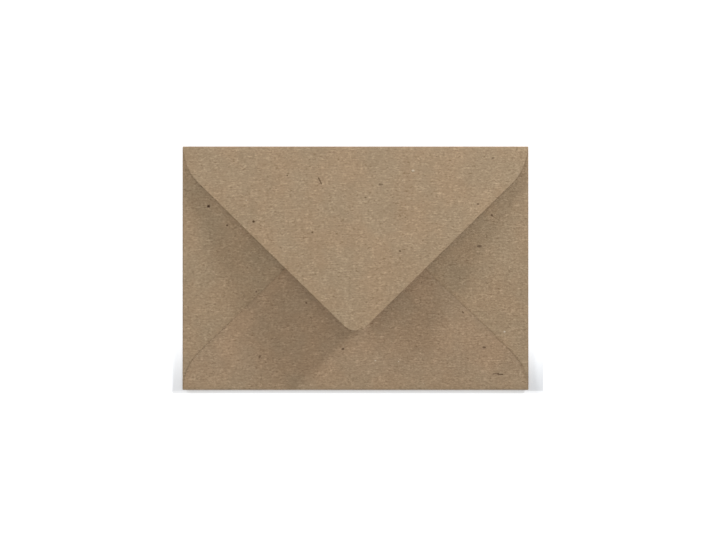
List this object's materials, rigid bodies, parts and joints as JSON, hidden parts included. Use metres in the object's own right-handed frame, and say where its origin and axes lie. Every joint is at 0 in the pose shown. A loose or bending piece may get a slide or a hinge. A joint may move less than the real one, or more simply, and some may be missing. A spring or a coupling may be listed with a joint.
{
  "type": "paper envelope",
  "caption": "Landscape paper envelope folded from a single sheet, with a deep pointed seal flap a little open over glued side and bottom flaps.",
  "frame": {"origin": "middle of the front panel's lower face, which lies on the table under the middle of the envelope", "axes": "+X along the width, towards the right of someone who reads the flap side with the seal flap pointing down; +Y up to the top fold, where the seal flap starts; +Z away from the table, out of the flap side"},
  "size_m": [0.162, 0.114, 0.0095],
  "materials": {
    "kraft_paper": "matt recycled kraft paper, fine fibre grain with small dark and pale specks"
  },
  "bodies": {
    "root": {"envelope": "kraft_paper"}
  },
  "joints": []
}
